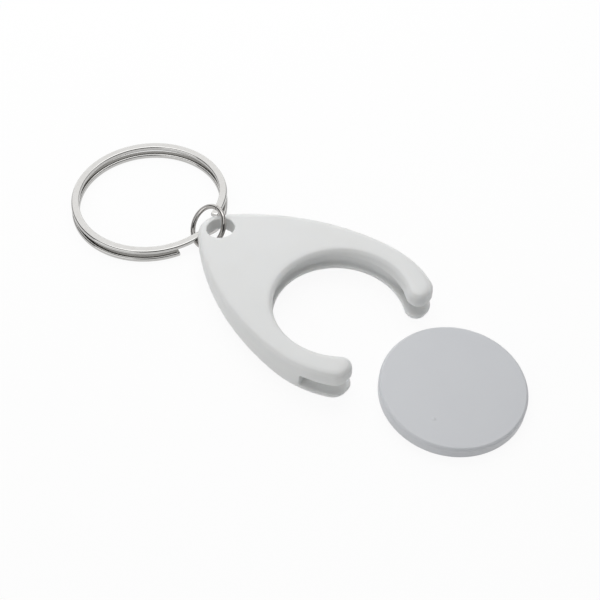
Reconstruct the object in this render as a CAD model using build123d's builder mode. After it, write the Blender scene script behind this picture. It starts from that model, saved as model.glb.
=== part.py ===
# Coin holder keyring: a moulded holder with a coin-sized token, hung on a split ring by a jump ring.
# The part lies flat on its back: +X runs from the split ring to the holder's mouth, +Z is up,
# and the origin is on the floor under the middle of the whole part. Lengths are in millimetres.
from build123d import *
import os
from math import atan2, cos, degrees, radians, sin, sqrt, tan

# Token, the size of a common coin
token_diameter = 23.25
token_thickness = 2.33
token_edge_radius = 0.5
token_out = 22.7            # how far ahead of its seat the token lies at rest

# Holder outline, measured from the middle of its round opening
lip_overlap = 0.625         # how far the slot's lips reach over the token's edge
seat_play = 0.15            # round the token's edge
seat_wall = 3.425           # plastic outside the seat, at the widest place
front_offset = 2.7          # how much longer the front arc's radius is than half the width
side_radius = 44.3          # long arcs that run back to the tail
tip_reach_share = 0.858     # how far the two arms reach ahead, in token radii
tip_outer_share = 0.643     # radii of the tips' corners, in arm widths
tip_inner_share = 0.452
tail_run = 14.825           # from the back of the seat to the tail hole
hole_radius = 2.4
nose_wall = 1.55            # plastic left round the tail hole

# Holder section, thin at the tail and thick at the arms
tail_height = 2.5
tip_height = 6.35
crown_rise = 0.5            # how far the top bows above the straight line from tail to tips
top_edge_share = 0.52       # radius of the top's round edge, in tail heights
bottom_edge_share = 0.4

# Coin slot
lower_lip = 1.3
slot_play = 0.12            # over the token's thickness
slot_break = 3.8            # from here forward the slot runs out through both sides

# Split ring, two turns of flattened wire
ring_outer_diameter = 28.0
ring_wire_width = 1.75
ring_wire_height = 0.85
ring_wire_corner = 0.25
ring_coil_gap = 0.47
ring_turn_shift = 0.2       # how far the lower turn sits off the upper one
ring_shift_heading = -50.0  # degrees, the way in which it sits off
ring_under_tail = 0.93      # how far the ring reaches in under the nose
ring_aside = -0.53
step_bulge = 0.3            # how far the wire bows out where it steps up
lower_end_heading = -22.5   # degrees round the ring, where the wire starts
upper_end_heading = 18.0    # degrees round the ring, where it ends
step_top_heading = -9.0     # degrees round the ring, where the step has reached the upper turn
gap_places = 240            # places along the wire at which the gap between the turns is measured

# Jump ring, one turn of round wire with butted ends
jump_outer_diameter = 8.0
jump_wire_diameter = 0.8
jump_butt_gap = 0.12
jump_heading = -107.0       # degrees, the way in which the ring faces, seen from above
jump_lean = 44.0            # degrees, how far it faces upwards
jump_inside_tail = 0.95     # from the nose's end forward to the ring's middle
jump_aside = 0.13
jump_height = 3.0

overrun = 1.0               # how far cuts run past the material
edge_flats = 3              # narrow flats that make up a round edge
flat_turn = 90 / (edge_flats + 1)


def corner_inset(radius):
    """How far in from the wall a face ends where its edge is rounded."""
    return radius * (1 - tan(radians(flat_turn / 2)))


# Places worked out from the sizes
token_radius = token_diameter / 2
opening_radius = token_radius - lip_overlap
half_width = token_radius + seat_play + seat_wall
front_radius = half_width + front_offset
tip_reach = token_radius * tip_reach_share
arm_width = half_width - opening_radius
tip_outer_radius = arm_width * tip_outer_share
tip_inner_radius = arm_width * tip_inner_share
hole_back = token_radius + seat_play + tail_run
nose_radius = hole_radius + nose_wall
nose_end = hole_back + nose_radius
top_edge_radius = tail_height * top_edge_share
bottom_edge_radius = tail_height * bottom_edge_share
token_base = lower_lip + slot_play / 2

# The holder rests on its tips, tipped forward until the token's outer rim meets the floor
foot_reach = tip_reach - corner_inset(bottom_edge_radius)
rim_reach = token_out + token_radius - corner_inset(token_edge_radius)
pitch = atan2(token_base, rim_reach - foot_reach)
foot_drop = foot_reach * sin(pitch)

ring_x = -nose_end + ring_under_tail - ring_outer_diameter / 2
ring_mid_radius = (ring_outer_diameter - ring_wire_width) / 2
shift_way = Vector(1, 0, 0).rotate(Axis.Z, ring_shift_heading) * (ring_turn_shift / 2)
left_end = ring_x - shift_way.X - ring_outer_diameter / 2
rim_top = token_base + token_thickness - corner_inset(token_edge_radius)
right_end = (token_out + token_radius) * cos(pitch) + rim_top * sin(pitch)
middle_x = (left_end + right_end) / 2

along = Vector(cos(pitch), 0, -sin(pitch))
upward = Vector(sin(pitch), 0, cos(pitch))
holder_plane = Plane(origin=(-middle_x, 0, foot_drop), x_dir=along, z_dir=upward)
side_plane = Plane(origin=holder_plane.origin, x_dir=along, z_dir=(0, -1, 0))
by_height = Axis(holder_plane.origin, upward)


def heading(start, end):
    """Degrees of the way from one point to another, from +X towards +Y."""
    return degrees(atan2(end[1] - start[1], end[0] - start[0]))


def round_over(which, radius):
    """Round the edges of the highest (-1) or lowest (0) face, as a few narrow flats that touch the round."""
    for cut in range(edge_flats):
        turn_left = 90 - cut * flat_turn
        corner = radius * tan(radians(turn_left / 2))
        on_face = corner - radius * tan(radians((turn_left - flat_turn) / 2))
        on_wall = corner - radius * tan(radians(flat_turn / 2))
        face = faces().sort_by(by_height)[which]
        chamfer(face.edges(), on_face, on_wall, reference=face)


# Centres of the outline's arcs, on the left arm; the right arm is its mirror image
front_centre = (0, -front_offset)
tip_outer_x = tip_reach - tip_outer_radius
tip_outer_y = sqrt((front_radius - tip_outer_radius) ** 2 - tip_outer_x**2) - front_offset
tip_outer_centre = (tip_outer_x, tip_outer_y)
tip_inner_x = tip_reach - tip_inner_radius
tip_inner_y = sqrt((opening_radius + tip_inner_radius) ** 2 - tip_inner_x**2)
tip_inner_centre = (tip_inner_x, tip_inner_y)
nose_centre = (-hole_back, 0)

# The side arc touches the front arc and the nose, so its centre is where two circles
# about their centres cross, on the far side of the middle line
reach_front = side_radius - front_radius
reach_nose = side_radius - nose_radius
centre_gap = sqrt(hole_back**2 + front_offset**2)
gap_part = (reach_front**2 - reach_nose**2 + centre_gap**2) / (2 * centre_gap)
gap_across = sqrt(reach_front**2 - gap_part**2)
side_x = -(gap_part * hole_back + gap_across * front_offset) / centre_gap
side_y = (gap_part * front_offset - gap_across * hole_back) / centre_gap - front_offset
side_centre = (side_x, side_y)

nose_join = heading(side_centre, nose_centre)
side_join = heading(side_centre, front_centre)
tip_join = heading(front_centre, tip_outer_centre)
opening_join = heading((0, 0), tip_inner_centre)

# Holder, one moulded piece: a C round the token's seat, drawn out to a tail with a hole
with BuildPart() as holder:
    with BuildSketch(holder_plane):
        with BuildLine():
            CenterArc(nose_centre, nose_radius, nose_join, 180 - nose_join)
            CenterArc(side_centre, side_radius, side_join, nose_join - side_join)
            CenterArc(front_centre, front_radius, tip_join, side_join - tip_join)
            CenterArc(tip_outer_centre, tip_outer_radius, 0, tip_join)
            Line((tip_reach, tip_outer_y), (tip_reach, tip_inner_y))
            CenterArc(tip_inner_centre, tip_inner_radius, 0, opening_join - 180)
            CenterArc((0, 0), opening_radius, opening_join, 180 - opening_join)
            mirror(about=Plane.XZ)
        make_face()
    extrude(amount=tip_height + crown_rise + overrun)
    with BuildSketch(side_plane):
        with BuildLine():
            crown = ThreePointArc(
                (-nose_end, tail_height),
                ((tip_reach - nose_end) / 2, (tail_height + tip_height) / 2 + crown_rise),
                (tip_reach, tip_height),
            )
            Polyline(crown @ 1, (tip_reach, 0), (-nose_end, 0), crown @ 0)
        make_face()
    extrude(amount=half_width + overrun, both=True, mode=Mode.INTERSECT)
    round_over(-1, top_edge_radius)
    round_over(0, bottom_edge_radius)
    with BuildSketch(holder_plane.offset(lower_lip)):
        Circle(token_radius + seat_play)
        with Locations((slot_break, 0)):
            Rectangle(2 * slot_break, token_diameter + 2 * seat_play)
            Rectangle(tip_reach, 2 * half_width + overrun, align=(Align.MIN, Align.CENTER))
    extrude(amount=token_thickness + slot_play, mode=Mode.SUBTRACT)
    with BuildSketch(holder_plane):
        with Locations(nose_centre):
            Circle(hole_radius)
    extrude(amount=tip_height, mode=Mode.SUBTRACT)
holder.part.label = "holder"

# Token, a plain disc with rounded rims, lying in line with the slot
with BuildPart() as token:
    with BuildSketch(holder_plane.offset(token_base)):
        with Locations((token_out, 0)):
            Circle(token_radius)
    extrude(amount=token_thickness)
    round_over(-1, token_edge_radius)
    round_over(0, token_edge_radius)
token.part.label = "token"

# Split ring: the wire lies flat for most of a turn, steps up past its own ends and lies flat again
ring_centre = Vector(ring_x - middle_x, ring_aside, ring_wire_height / 2)
lower_centre = ring_centre + shift_way
upper_centre = ring_centre - shift_way + Vector(0, 0, ring_wire_height + ring_coil_gap)
lower_sweep = 360 + lower_end_heading - upper_end_heading
upper_sweep = 360 + step_top_heading - upper_end_heading


def ring_station(angle, turn_centre, bulge=0):
    """A point on a turn of the split ring, and the way that the wire runs there."""
    out = Vector(1, 0, 0).rotate(Axis.Z, angle)
    return turn_centre + out * (ring_mid_radius + bulge), out.rotate(Axis.Z, -90)


def biarc(start, start_way, end, end_way):
    """Two arcs that leave one point its way and reach the next its way, as smoothly as can be."""
    across = end - start
    ways = start_way + end_way
    lean = across.dot(ways)
    square = across.dot(across)
    reach = square / (lean + sqrt(lean**2 + (4 - ways.dot(ways)) * square))
    start_knee = start + start_way * reach
    end_knee = end - end_way * reach
    joint = (start_knee + end_knee) / 2
    TangentArc(start, joint, tangent=start_way)
    TangentArc(joint, end, tangent=end_knee - start_knee)


stations = [
    ring_station(lower_end_heading, lower_centre),
    ring_station(lower_end_heading - lower_sweep / 2, lower_centre),
    ring_station(upper_end_heading, lower_centre),
    ring_station(step_top_heading, upper_centre, step_bulge),
    ring_station(step_top_heading - upper_sweep / 2, upper_centre),
    ring_station(upper_end_heading, upper_centre),
]
with BuildPart() as split_ring:
    with BuildLine() as ring_line:
        for station, following in zip(stations, stations[1:]):
            biarc(*station, *following)
    ring_route = ring_line.wires()[0]
    with BuildSketch(Plane(origin=stations[0][0], x_dir=(0, 0, 1), z_dir=stations[0][1])):
        Rectangle(ring_wire_height, ring_wire_width)
        chamfer(vertices(), ring_wire_corner)
    sweep(path=ring_route)
split_ring.part.label = "split_ring"

# The least gap between the two turns, from places along the wire that are half a turn or more apart
places = [ring_route @ (index / gap_places) for index in range(gap_places + 1)]
gaps = []
for index, place in enumerate(places):
    way = ring_route % (index / gap_places)
    for other in places[index + gap_places // 4 :]:
        across = other - place
        run = across.dot(way)
        beside = sqrt(max(across.X**2 + across.Y**2 - run**2, 0))
        clear = (run, max(beside - ring_wire_width, 0), max(abs(across.Z) - ring_wire_height, 0))
        gaps.append(sqrt(sum(part**2 for part in clear)))
print(f"The split ring's least gap to itself is {min(gaps):.2f} mm")

# Jump ring: it goes down through the tail hole and round the split ring where that is one wire thick
jump_facing = Vector(1, 0, 0).rotate(Axis.Y, -jump_lean).rotate(Axis.Z, jump_heading)
jump_plane = Plane(origin=(-nose_end + jump_inside_tail - middle_x, jump_aside, jump_height), z_dir=jump_facing)
jump_mid_radius = (jump_outer_diameter - jump_wire_diameter) / 2
jump_turn = 360 - degrees(jump_butt_gap / jump_mid_radius)
with BuildPart() as jump_ring:
    with BuildSketch(Plane(origin=jump_plane.origin, x_dir=jump_plane.x_dir, z_dir=-jump_plane.y_dir)):
        with Locations((jump_mid_radius, 0)):
            Circle(jump_wire_diameter / 2)
    revolve(axis=Axis(jump_plane.origin, jump_plane.z_dir), revolution_arc=jump_turn)
jump_ring.part.label = "jump_ring"

os.makedirs("parts", exist_ok=True)
for piece in (holder, token, jump_ring, split_ring):
    export_step(piece.part, f"parts/{piece.part.label}.step")
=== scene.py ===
import math

import bpy
from mathutils import Matrix, Vector


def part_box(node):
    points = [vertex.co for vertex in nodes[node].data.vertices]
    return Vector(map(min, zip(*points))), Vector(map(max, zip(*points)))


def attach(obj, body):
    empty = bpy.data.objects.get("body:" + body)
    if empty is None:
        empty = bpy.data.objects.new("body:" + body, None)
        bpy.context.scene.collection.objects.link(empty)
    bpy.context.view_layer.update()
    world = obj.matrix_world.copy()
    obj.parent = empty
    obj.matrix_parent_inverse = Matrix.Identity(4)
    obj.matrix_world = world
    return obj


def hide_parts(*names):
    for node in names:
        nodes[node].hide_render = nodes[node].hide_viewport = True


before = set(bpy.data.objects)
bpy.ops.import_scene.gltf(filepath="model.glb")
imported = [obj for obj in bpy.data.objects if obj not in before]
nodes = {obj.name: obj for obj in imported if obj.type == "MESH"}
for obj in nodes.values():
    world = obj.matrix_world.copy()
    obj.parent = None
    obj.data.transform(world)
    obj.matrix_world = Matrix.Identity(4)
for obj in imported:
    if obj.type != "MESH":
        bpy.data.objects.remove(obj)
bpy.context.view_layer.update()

# The object lies loose on a sheet of matt white card, which is the floor. The card takes its soft
# shadow, and glows a little towards the eye, so that it reads as white, in the metal too.
floor_side = 6
card_white, pure_white = "f6f6f6", "ffffff"
card_glow_share = 0.92


def linear(colour):
    """The linear colour of an sRGB hex value such as "c8cacc"."""
    parts = [int(colour[i : i + 2], 16) / 255 for i in (0, 2, 4)]
    return [*[c / 12.92 if c <= 0.04045 else ((c + 0.055) / 1.055) ** 2.4 for c in parts], 1]


def add(tree, kind, inputs=None, **settings):
    """A new node of this kind, with its settings made and its inputs, by name or number, set or linked."""
    made = tree.nodes.new(kind)
    for name, value in settings.items():
        setattr(made, name, value)
    for name, value in (inputs or {}).items():
        if isinstance(value, bpy.types.NodeSocket):
            tree.links.new(value, made.inputs[name])
        else:
            made.inputs[name].default_value = value
    return made


def rays_that_see(tree):
    """1 for rays from the eye, off a gloss or through glass, which see the background, and 0 for others."""
    rays = add(tree, "ShaderNodeLightPath").outputs
    seeing = rays["Is Camera Ray"]
    for kind in ("Is Glossy Ray", "Is Transmission Ray"):
        seeing = add(tree, "ShaderNodeMath", {0: seeing, 1: rays[kind]}, operation="MAXIMUM").outputs[0]
    return seeing


bpy.ops.object.select_all(action="DESELECT")
bpy.ops.mesh.primitive_plane_add(size=floor_side)
floor = bpy.context.object
floor.name = "floor"
card = bpy.data.materials.new("card_matt_white")
card.use_nodes = True
tree = card.node_tree
tree.nodes.clear()
share = add(tree, "ShaderNodeMath", {0: rays_that_see(tree), 1: card_glow_share}, operation="MULTIPLY")
matt = add(tree, "ShaderNodeBsdfDiffuse", {"Color": linear(card_white)})
glow = add(tree, "ShaderNodeEmission", {"Color": linear(pure_white), "Strength": 1.0})
both = add(tree, "ShaderNodeMixShader", {0: share.outputs[0], 1: matt.outputs[0], 2: glow.outputs[0]})
add(tree, "ShaderNodeOutputMaterial", {"Surface": both.outputs[0]})
floor.data.materials.append(card)

# It lies in a light tent, whose walls give an even, faint light. To the eye and to the metal they are
# white at the foot, as the background, and dim above, which draws dark lines along the rounded wire.
wall_light, wall_dim = 0.2, 0.07
white_up_to, dim_from = 0.25, 0.35  # heights of the line of sight, where 1 is straight up
walls = bpy.context.scene.world or bpy.data.worlds.new("tent_walls")
bpy.context.scene.world = walls
walls.use_nodes = True
tree = walls.node_tree
sight = add(tree, "ShaderNodeSeparateXYZ", {0: add(tree, "ShaderNodeTexCoord").outputs["Generated"]})
seen = add(tree, "ShaderNodeMapRange", {
    "Value": sight.outputs["Z"], "From Min": white_up_to, "From Max": dim_from,
    "To Min": 1.0, "To Max": wall_dim})
# Inputs 2 and 3 of a Mix node are the numbers that it mixes, and 6 and 7 the colours
brightness = add(tree, "ShaderNodeMix", {
    "Factor": rays_that_see(tree), 2: wall_light, 3: seen.outputs[0]}, data_type="FLOAT")
background = tree.nodes["Background"]
background.inputs["Color"].default_value = linear(pure_white)
tree.links.new(brightness.outputs[0], background.inputs["Strength"])

# Four soft square panels light it, one behind, one overhead and one at each side. Their places are as
# the camera has them: across, away from it, and up. At a strength of 1 a panel would look white.
camera_turn = math.radians(40.598)
turn = Matrix.Rotation(camera_turn, 4, "Z")
for panel, place, side, strength in (
    ("back_panel", (-0.03, 0.16, 0.15), 0.28, 1.36),
    ("overhead_panel", (0, 0.05, 0.4), 0.35, 1.35),
    ("left_wall", (-0.34, -0.3, 0.2), 0.5, 0.95),
    ("right_wall", (0.45, 0.05, 0.24), 0.5, 0.3),
):
    bpy.ops.object.light_add(type="AREA", location=turn @ Vector(place))
    lamp = bpy.context.object
    lamp.name = panel
    lamp.data.size = side
    lamp.data.energy = strength * math.pi * side**2
    lamp.rotation_mode = "QUATERNION"
    lamp.rotation_quaternion = (-lamp.location).to_track_quat("-Z", "Y")

# The camera stands about where the photograph was taken from. From there the outline of the holder and
# the token, as they lie here, comes near theirs in the photograph. With the lens to match, it does so
# from 8 mm nearer and 8 mm further too, so this distance is a choice among those.
photo_side, focal_px = 600, 1150
film_width = 36
camera_far = 0.19312
camera_rise = math.radians(49.231)
aim = Vector((0.0023961, -0.0024360, 0))
back = Vector((0, -math.cos(camera_rise), math.sin(camera_rise))) * camera_far
bpy.ops.object.camera_add(location=turn @ (aim + back))
camera = bpy.context.object
camera.data.sensor_width = film_width
camera.data.lens = focal_px / photo_side * film_width
camera.data.clip_start, camera.data.clip_end = 0.01, 10
camera.rotation_mode = "QUATERNION"
camera.rotation_quaternion = (turn @ -back).to_track_quat("-Z", "Y")
bpy.context.scene.camera = camera
bpy.context.scene.view_settings.view_transform = "Standard"

# The holder is one injection moulding in white ABS: a C round the coin's seat, drawn out to a flat tail
# with a hole, its top edges rounded over. Only the jump ring joins it, loose through the hole. A copy of
# its solid is made again in small even cells, which turns the solid's flats into soft rounds.
mm = 0.001
weld_gap = 0.002 * mm
cell_side = 0.157 * mm
soften_share, soften_rounds = 0.5, 3
bpy.ops.object.select_all(action="DESELECT")
holder = bpy.data.objects.new("holder_moulding", nodes["holder"].data.copy())
bpy.context.collection.objects.link(holder)
holder.select_set(True)
bpy.context.view_layer.objects.active = holder
bpy.ops.object.mode_set(mode="EDIT")
bpy.ops.mesh.select_all(action="SELECT")
bpy.ops.mesh.remove_doubles(threshold=weld_gap)
bpy.ops.object.mode_set(mode="OBJECT")
cells = holder.modifiers.new("even_cells", "REMESH")
cells.mode = "VOXEL"
cells.voxel_size = cell_side
bpy.ops.object.modifier_apply(modifier=cells.name)
softened = holder.modifiers.new("soft_edges", "SMOOTH")
softened.factor = soften_share
softened.iterations = soften_rounds
bpy.ops.object.modifier_apply(modifier=softened.name)
bpy.ops.object.shade_smooth()

# The plastics are injection moulded in a fine-blasted mould: satin, with a soft broad highlight, and a
# hardly seen change of tone where the plastic sank as it cooled. The grain is drawn coarser than the
# blast leaves it, so that it shows.
blast_grain, grain_depth = 0.12 * mm, 0.003 * mm
sink_width, sink_depth = 7 * mm, 0.08 * mm


def moulded_plastic(name, colour, sunk_colour, smoothest, roughest, ior):
    """A satin moulded plastic. More can be built on its nodes named where, sink and grain_bump."""
    plastic = bpy.data.materials.new(name)
    plastic.use_nodes = True
    tree = plastic.node_tree
    shader = tree.nodes["Principled BSDF"]
    where = add(tree, "ShaderNodeTexCoord", name="where").outputs["Object"]
    grain = add(tree, "ShaderNodeTexNoise", {"Vector": where, "Scale": 1 / blast_grain, "Detail": 2.0})
    sink = add(tree, "ShaderNodeTexNoise", {
        "Vector": where, "Scale": 1 / sink_width, "Detail": 1.0}, name="sink")
    tint = add(tree, "ShaderNodeMix", {
        "Factor": sink.outputs[0], 6: linear(colour), 7: linear(sunk_colour)}, data_type="RGBA")
    gloss = add(tree, "ShaderNodeMapRange", {
        "Value": grain.outputs[0], "To Min": smoothest, "To Max": roughest})
    bump = add(tree, "ShaderNodeBump", {
        "Height": grain.outputs[0], "Strength": 0.5, "Distance": grain_depth}, name="grain_bump")
    tree.links.new(tint.outputs[2], shader.inputs["Base Color"])
    tree.links.new(gloss.outputs[0], shader.inputs["Roughness"])
    tree.links.new(bump.outputs[0], shader.inputs["Normal"])
    shader.inputs["IOR"].default_value = ior
    return plastic


# The white ABS lets light a little way in, and its thick arms have faint dents where they sank.
white_abs = moulded_plastic(
    "abs_white_satin_moulded", colour="e3e4e4", sunk_colour="dfe0df", smoothest=0.32, roughest=0.42, ior=1.53)
tree = white_abs.node_tree
shader = tree.nodes["Principled BSDF"]
dents = add(tree, "ShaderNodeBump", {
    "Height": tree.nodes["sink"].outputs[0], "Strength": 0.6, "Distance": sink_depth,
    "Normal": tree.nodes["grain_bump"].outputs[0]})
tree.links.new(dents.outputs[0], shader.inputs["Normal"])
shader.inputs["Subsurface Weight"].default_value = 0.45
shader.inputs["Subsurface Radius"].default_value = (1.0, 0.95, 0.9)
shader.inputs["Subsurface Scale"].default_value = 1.0 * mm
holder.data.materials.clear()
holder.data.materials.append(white_abs)
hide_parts("holder")
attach(holder, "holder")

# The token is a plain disc the size of a coin, injection moulded in cool grey polystyrene with rounded
# rims, and it lies loose in front of the mouth. On its top a faint pip shows where the gate was cut off.
# Its solid leans 3 degrees from flat, in line with the holder's slot, so that it slides straight in.
gate_size, gate_rise = 0.45 * mm, 0.12 * mm
gate_from_middle = Vector((1.42, -7.0, 1.09)) * mm
token_low, token_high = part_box("token")
grey_styrene = moulded_plastic(
    "polystyrene_grey_satin_moulded", colour="ccced2", sunk_colour="d0d2d5",
    smoothest=0.3, roughest=0.4, ior=1.55)
tree = grey_styrene.node_tree
from_gate = add(tree, "ShaderNodeVectorMath", {
    0: tree.nodes["where"].outputs["Object"],
    1: (token_low + token_high) / 2 + gate_from_middle}, operation="DISTANCE")
pip = add(tree, "ShaderNodeMapRange", {
    "Value": from_gate.outputs["Value"], "From Min": 0.0, "From Max": gate_size,
    "To Min": 1.0, "To Max": 0.0}, interpolation_type="SMOOTHSTEP")
pip_bump = add(tree, "ShaderNodeBump", {
    "Height": pip.outputs[0], "Strength": 0.6, "Distance": gate_rise,
    "Normal": tree.nodes["grain_bump"].outputs[0]})
tree.links.new(pip_bump.outputs[0], tree.nodes["Principled BSDF"].inputs["Normal"])
nodes["token"].material_slots[0].material = grey_styrene

# The jump ring is one turn of fine round steel wire, cut square and butted at the top, put through the
# tail's hole and round the split ring. It leans there as its solid does, with a slightly thicker wire,
# and is a round face spun from one cut to the other.
jump_centre = Vector((-17.985, 0.13, 3.03)) * mm  # 0.03 mm above the solid's, to stay off the floor
jump_facing = Vector((-0.2103, -0.6879, 0.6947)).normalized()
to_butt = Vector((0, 0.7105, 0.7036))
to_butt = (to_butt - jump_facing * to_butt.dot(jump_facing)).normalized()
along_wire = jump_facing.cross(to_butt)
jump_radius, jump_wire, butt_gap = 3.6 * mm, 0.88 * mm, 0.12 * mm
jump_sides, jump_steps = 20, 110
cut_ease, cut_segments = 0.06 * mm, 2
crease_angle = math.radians(40)


def finish_wire(sides):
    """Ease the rims of the wire's two cut ends, which have this many sides, and turn its faces outwards."""
    bpy.ops.mesh.select_all(action="DESELECT")
    bpy.ops.mesh.select_mode(type="FACE")
    bpy.ops.mesh.select_face_by_sides(number=sides)
    bpy.ops.mesh.region_to_loop()
    bpy.ops.mesh.bevel(offset=cut_ease, segments=cut_segments, affect="EDGES")
    bpy.ops.mesh.select_all(action="SELECT")
    bpy.ops.mesh.normals_make_consistent(inside=False)
    bpy.ops.object.mode_set(mode="OBJECT")
    bpy.ops.object.shade_smooth_by_angle(angle=crease_angle)


bpy.ops.object.select_all(action="DESELECT")
bpy.ops.mesh.primitive_circle_add(
    vertices=jump_sides, radius=jump_wire / 2, fill_type="NGON",
    location=jump_centre + to_butt * jump_radius, rotation=along_wire.to_track_quat("Z", "Y").to_euler())
jump_ring = bpy.context.object
jump_ring.name = "jump_ring_wire"
bpy.ops.object.transform_apply(location=True, rotation=True, scale=True)
bpy.ops.object.mode_set(mode="EDIT")
bpy.ops.mesh.select_all(action="SELECT")
bpy.ops.mesh.spin(
    steps=jump_steps, angle=2 * math.pi - butt_gap / jump_radius, center=jump_centre, axis=jump_facing)
finish_wire(jump_sides)

# Both rings are nickel-plated steel wire, drawn, coiled and barrel tumbled: bright, with a soft satin
# break-up from the tumbling and a faint warm cast. The fine wire is the darker one. The scuffs are drawn
# longer than tumbling leaves them, so that they show.
scuff_length, scuff_depth = 0.5 * mm, 0.002 * mm
least_rough, most_rough = 0.05, 0.14


def tumbled_nickel(name, nickel, scuffed_nickel):
    """Tumbled nickel plate in these two tones, as a material."""
    plate = bpy.data.materials.new(name)
    plate.use_nodes = True
    tree = plate.node_tree
    shader = tree.nodes["Principled BSDF"]
    where = add(tree, "ShaderNodeTexCoord").outputs["Object"]
    scuff = add(tree, "ShaderNodeTexNoise", {"Vector": where, "Scale": 1 / scuff_length, "Detail": 5.0})
    tint = add(tree, "ShaderNodeMix", {
        "Factor": scuff.outputs[0], 6: linear(nickel), 7: linear(scuffed_nickel)}, data_type="RGBA")
    gloss = add(tree, "ShaderNodeMapRange", {
        "Value": scuff.outputs[0], "To Min": least_rough, "To Max": most_rough})
    bump = add(tree, "ShaderNodeBump", {
        "Height": scuff.outputs[0], "Strength": 0.4, "Distance": scuff_depth})
    tree.links.new(tint.outputs[2], shader.inputs["Base Color"])
    tree.links.new(gloss.outputs[0], shader.inputs["Roughness"])
    tree.links.new(bump.outputs[0], shader.inputs["Normal"])
    shader.inputs["Metallic"].default_value = 1.0
    return plate


jump_ring.data.materials.append(tumbled_nickel("steel_fine_wire_nickel_tumbled", "b2b0ae", "9d9a97"))
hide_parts("jump_ring")
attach(jump_ring, "jump_ring")

# The split ring is one length of flattened steel wire with rounded edges, coiled in two turns that lie a
# little aside of each other, with a step where the wire passes from the lower turn to the upper one. The
# wire is narrower than in its solid, and the turns lie further aside.
ring_centre = Vector((-32.005, -0.53, 0)) * mm
wire_width, wire_height, wire_corner = 1.4 * mm, 0.87 * mm, 0.3 * mm
corner_segments = 5
cut_sides = 4 * (corner_segments + 1)
turn_radius = 13.27 * mm
shift_turn, turn_shift = math.radians(-50), 0.65 * mm
shift_way = Vector((math.cos(shift_turn), math.sin(shift_turn), 0))
upper_lift = 1.31 * mm
# In degrees round the ring, which fall along the wire from its lower end to its upper one
wire_start, wire_run, wire_stride = -22.5, 679.5, 3
wire_end = wire_start - wire_run
step_start, step_end = -342, -369
step_bulge, bulge_rise, bulge_fade = 0.3 * mm, 24, 150
end_tuck, tuck_run = 0.42 * mm, 34


def ease(value, start, end):
    """From 0 at the start to 1 at the end, with soft ends."""
    share = min(max((value - start) / (end - start), 0), 1)
    return share * share * (3 - 2 * share)


def wire_middle(angle):
    """The middle of the wire at this angle, out by the bulge at the step and in by the tuck at the end."""
    raised = ease(angle, step_start, step_end)
    rise = ease(angle, step_start + bulge_rise, step_start)
    fade = ease(angle, step_end, step_end - bulge_fade)
    tuck = ease(angle, wire_end + tuck_run, wire_end)
    radius = turn_radius + step_bulge * rise * (1 - fade) - end_tuck * tuck
    round_at = math.radians(angle)
    middle = ring_centre + shift_way * turn_shift * (0.5 - raised)
    middle += Vector((math.cos(round_at), math.sin(round_at), 0)) * radius
    middle.z = wire_height / 2 + upper_lift * raised
    return middle


bpy.ops.object.select_all(action="DESELECT")
middle = wire_middle(wire_start)
bpy.ops.mesh.primitive_plane_add(
    size=1, location=middle, rotation=(math.pi / 2, 0, math.radians(wire_start)))
split_ring = bpy.context.object
split_ring.name = "split_ring_wire"
split_ring.scale = (wire_width, wire_height, 1)
bpy.ops.object.transform_apply(location=True, rotation=True, scale=True)
bpy.ops.object.mode_set(mode="EDIT")
bpy.ops.mesh.select_all(action="SELECT")
bpy.ops.mesh.bevel(offset=wire_corner, segments=corner_segments, affect="VERTICES")
bpy.ops.mesh.select_all(action="SELECT")
strides = round(wire_run / wire_stride)
# With no window, rotate turns the other way, so this value turns the wire's end with the falling angle
for stride in range(1, strides + 1):
    onward = wire_middle(wire_start - wire_run * stride / strides)
    bpy.ops.mesh.extrude_region_move(TRANSFORM_OT_translate={"value": onward - middle})
    bpy.ops.transform.rotate(
        value=math.radians(wire_run / strides), orient_axis="Z", center_override=onward)
    middle = onward
finish_wire(cut_sides)
split_ring.data.materials.append(tumbled_nickel("steel_wire_nickel_tumbled", "c2c2c1", "b6b4b1"))
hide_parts("split_ring")
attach(split_ring, "split_ring")
